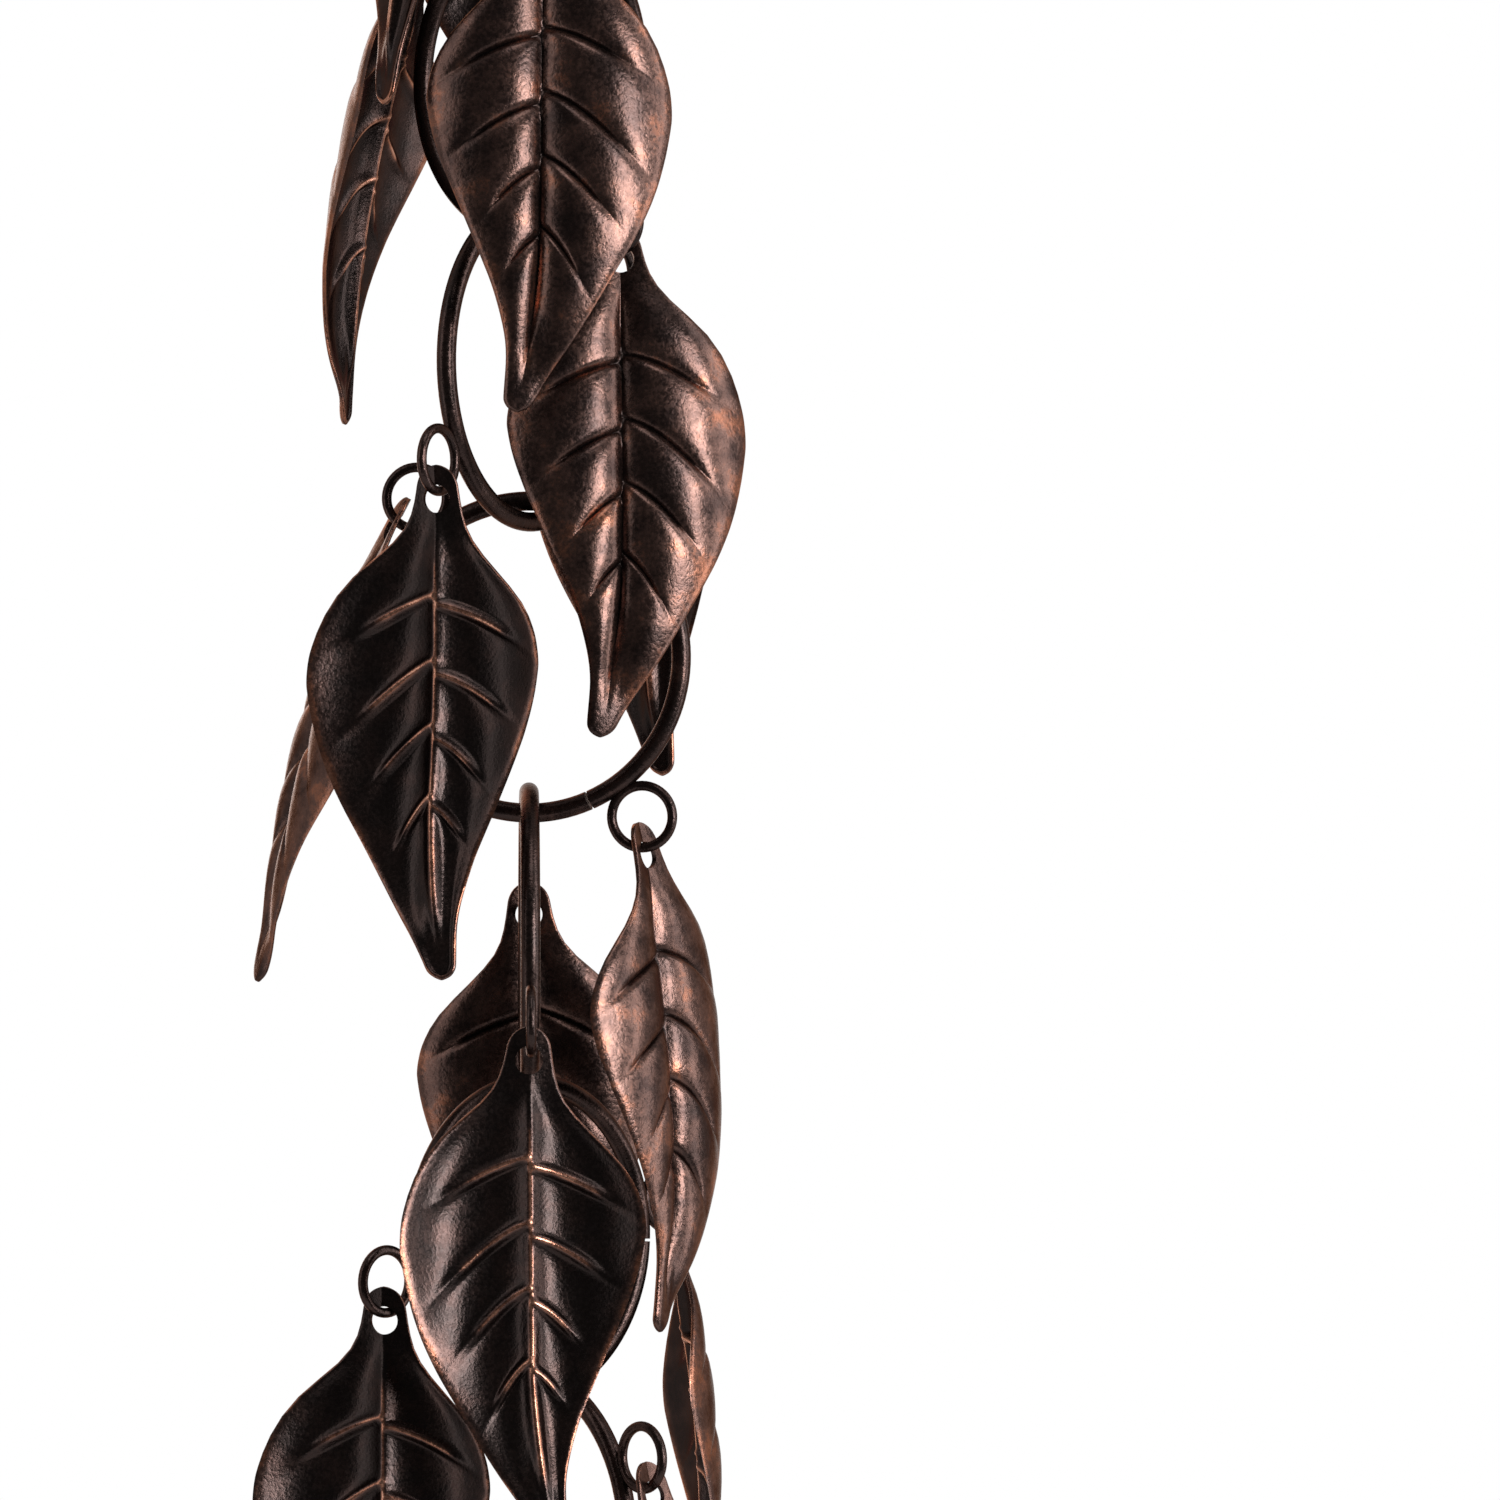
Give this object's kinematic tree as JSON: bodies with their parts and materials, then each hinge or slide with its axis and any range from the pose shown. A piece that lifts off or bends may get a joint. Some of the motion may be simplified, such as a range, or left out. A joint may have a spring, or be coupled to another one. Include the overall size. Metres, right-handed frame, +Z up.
{
  "type": "rain chain",
  "caption": "Rain chain of linked wire rings with pressed leaves hanging from welded eyelets, in oil-rubbed bronze.",
  "frame": {"origin": "inside crown of the top ring, where the chain bears on the hook or bar it hangs from", "axes": "+Z up along the hanging chain; -Y towards the viewer of the picture; +X to the viewer's right"},
  "size_m": [0.1007, 0.0986, 1.3938],
  "materials": {
    "ring_wire": "satin oil-rubbed bronze",
    "leaf_sheet": "satin oil-rubbed bronze"
  },
  "bodies": {
    "link_01": {"ring_01": "ring_wire", "leaves_01": "leaf_sheet"},
    "link_02": {"ring_02": "ring_wire", "leaves_02": "leaf_sheet"},
    "link_03": {"ring_03": "ring_wire", "leaves_03": "leaf_sheet"},
    "link_04": {"ring_04": "ring_wire", "leaves_04": "leaf_sheet"},
    "link_05": {"ring_05": "ring_wire", "leaves_05": "leaf_sheet"},
    "link_06": {"ring_06": "ring_wire", "leaves_06": "leaf_sheet"},
    "link_07": {"ring_07": "ring_wire", "leaves_07": "leaf_sheet"},
    "link_08": {"ring_08": "ring_wire", "leaves_08": "leaf_sheet"},
    "link_09": {"ring_09": "ring_wire", "leaves_09": "leaf_sheet"},
    "link_10": {"ring_10": "ring_wire", "leaves_10": "leaf_sheet"},
    "link_11": {"ring_11": "ring_wire", "leaves_11": "leaf_sheet"},
    "link_12": {"ring_12": "ring_wire", "leaves_12": "leaf_sheet"},
    "link_13": {"ring_13": "ring_wire", "leaves_13": "leaf_sheet"},
    "link_14": {"ring_14": "ring_wire", "leaves_14": "leaf_sheet"},
    "link_15": {"ring_15": "ring_wire", "leaves_15": "leaf_sheet"},
    "link_16": {"ring_16": "ring_wire", "leaves_16": "leaf_sheet"},
    "link_17": {"ring_17": "ring_wire", "leaves_17": "leaf_sheet"},
    "link_18": {"ring_18": "ring_wire", "leaves_18": "leaf_sheet"},
    "link_19": {"ring_19": "ring_wire", "leaves_19": "leaf_sheet"},
    "link_20": {"ring_20": "ring_wire", "leaves_20": "leaf_sheet"},
    "link_21": {"ring_21": "ring_wire", "leaves_21": "leaf_sheet"},
    "link_22": {"ring_22": "ring_wire", "leaves_22": "leaf_sheet"},
    "link_23": {"ring_23": "ring_wire", "leaves_23": "leaf_sheet"},
    "link_24": {"ring_24": "ring_wire", "leaves_24": "leaf_sheet"},
    "link_25": {"ring_25": "ring_wire", "leaves_25": "leaf_sheet"}
  },
  "joints": [
    {"name": "swing_02", "type": "hinge", "parent": "link_01", "child": "link_02", "pos_m": [0, 0, -0.05475], "axis": [0.9962, -0.0872, 0], "range_deg": [-8, 8]},
    {"name": "swing_03", "type": "hinge", "parent": "link_02", "child": "link_03", "pos_m": [0, 0, -0.10745], "axis": [0.1736, 0.9848, 0], "range_deg": [-8, 8]},
    {"name": "swing_04", "type": "hinge", "parent": "link_03", "child": "link_04", "pos_m": [0, 0, -0.16015], "axis": [0.8192, -0.5736, 0], "range_deg": [-8, 8]},
    {"name": "swing_05", "type": "hinge", "parent": "link_04", "child": "link_05", "pos_m": [0, 0, -0.21285], "axis": [0.9063, 0.4226, 0], "range_deg": [-8, 8]},
    {"name": "swing_06", "type": "hinge", "parent": "link_05", "child": "link_06", "pos_m": [0, 0, -0.26555], "axis": [0.9397, -0.342, 0], "range_deg": [-8, 8]},
    {"name": "swing_07", "type": "hinge", "parent": "link_06", "child": "link_07", "pos_m": [0, 0, -0.31825], "axis": [-0.6428, -0.766, 0], "range_deg": [-8, 8]},
    {"name": "swing_08", "type": "hinge", "parent": "link_07", "child": "link_08", "pos_m": [0, 0, -0.37095], "axis": [0.1045, -0.9945, 0], "range_deg": [-8, 8]},
    {"name": "swing_09", "type": "hinge", "parent": "link_08", "child": "link_09", "pos_m": [0, 0, -0.42365], "axis": [0.7071, -0.7071, 0], "range_deg": [-8, 8]},
    {"name": "swing_10", "type": "hinge", "parent": "link_09", "child": "link_10", "pos_m": [0, 0, -0.47635], "axis": [0.5, 0.866, 0], "range_deg": [-8, 8]},
    {"name": "swing_11", "type": "hinge", "parent": "link_10", "child": "link_11", "pos_m": [0, 0, -0.52905], "axis": [0.9781, -0.2079, 0], "range_deg": [-8, 8]},
    {"name": "swing_12", "type": "hinge", "parent": "link_11", "child": "link_12", "pos_m": [0, 0, -0.58175], "axis": [0.0349, -0.9994, 0], "range_deg": [-8, 8]},
    {"name": "swing_13", "type": "hinge", "parent": "link_12", "child": "link_13", "pos_m": [0, 0, -0.63445], "axis": [0.7071, 0.7071, 0], "range_deg": [-8, 8]},
    {"name": "swing_14", "type": "hinge", "parent": "link_13", "child": "link_14", "pos_m": [0, 0, -0.68715], "axis": [0.6428, -0.766, 0], "range_deg": [-8, 8]},
    {"name": "swing_15", "type": "hinge", "parent": "link_14", "child": "link_15", "pos_m": [0, 0, -0.73985], "axis": [0.2588, 0.9659, 0], "range_deg": [-8, 8]},
    {"name": "swing_16", "type": "hinge", "parent": "link_15", "child": "link_16", "pos_m": [0, 0, -0.79255], "axis": [0.9962, 0.0872, 0], "range_deg": [-8, 8]},
    {"name": "swing_17", "type": "hinge", "parent": "link_16", "child": "link_17", "pos_m": [0, 0, -0.84525], "axis": [0.309, -0.9511, 0], "range_deg": [-8, 8]},
    {"name": "swing_18", "type": "hinge", "parent": "link_17", "child": "link_18", "pos_m": [0, 0, -0.89795], "axis": [0.866, -0.5, 0], "range_deg": [-8, 8]},
    {"name": "swing_19", "type": "hinge", "parent": "link_18", "child": "link_19", "pos_m": [0, 0, -0.95065], "axis": [0.6428, 0.766, 0], "range_deg": [-8, 8]},
    {"name": "swing_20", "type": "hinge", "parent": "link_19", "child": "link_20", "pos_m": [0, 0, -1.00335], "axis": [0.2588, -0.9659, 0], "range_deg": [-8, 8]},
    {"name": "swing_21", "type": "hinge", "parent": "link_20", "child": "link_21", "pos_m": [0, 0, -1.05605], "axis": [0.8829, 0.4695, 0], "range_deg": [-8, 8]},
    {"name": "swing_22", "type": "hinge", "parent": "link_21", "child": "link_22", "pos_m": [0, 0, -1.10875], "axis": [0.5446, -0.8387, 0], "range_deg": [-8, 8]},
    {"name": "swing_23", "type": "hinge", "parent": "link_22", "child": "link_23", "pos_m": [0, 0, -1.16145], "axis": [0.9903, -0.1392, 0], "range_deg": [-8, 8]},
    {"name": "swing_24", "type": "hinge", "parent": "link_23", "child": "link_24", "pos_m": [0, 0, -1.21415], "axis": [0.4226, -0.9063, 0], "range_deg": [-8, 8]},
    {"name": "swing_25", "type": "hinge", "parent": "link_24", "child": "link_25", "pos_m": [0, 0, -1.26685], "axis": [0.9962, 0.0872, 0], "range_deg": [-8, 8]}
  ]
}
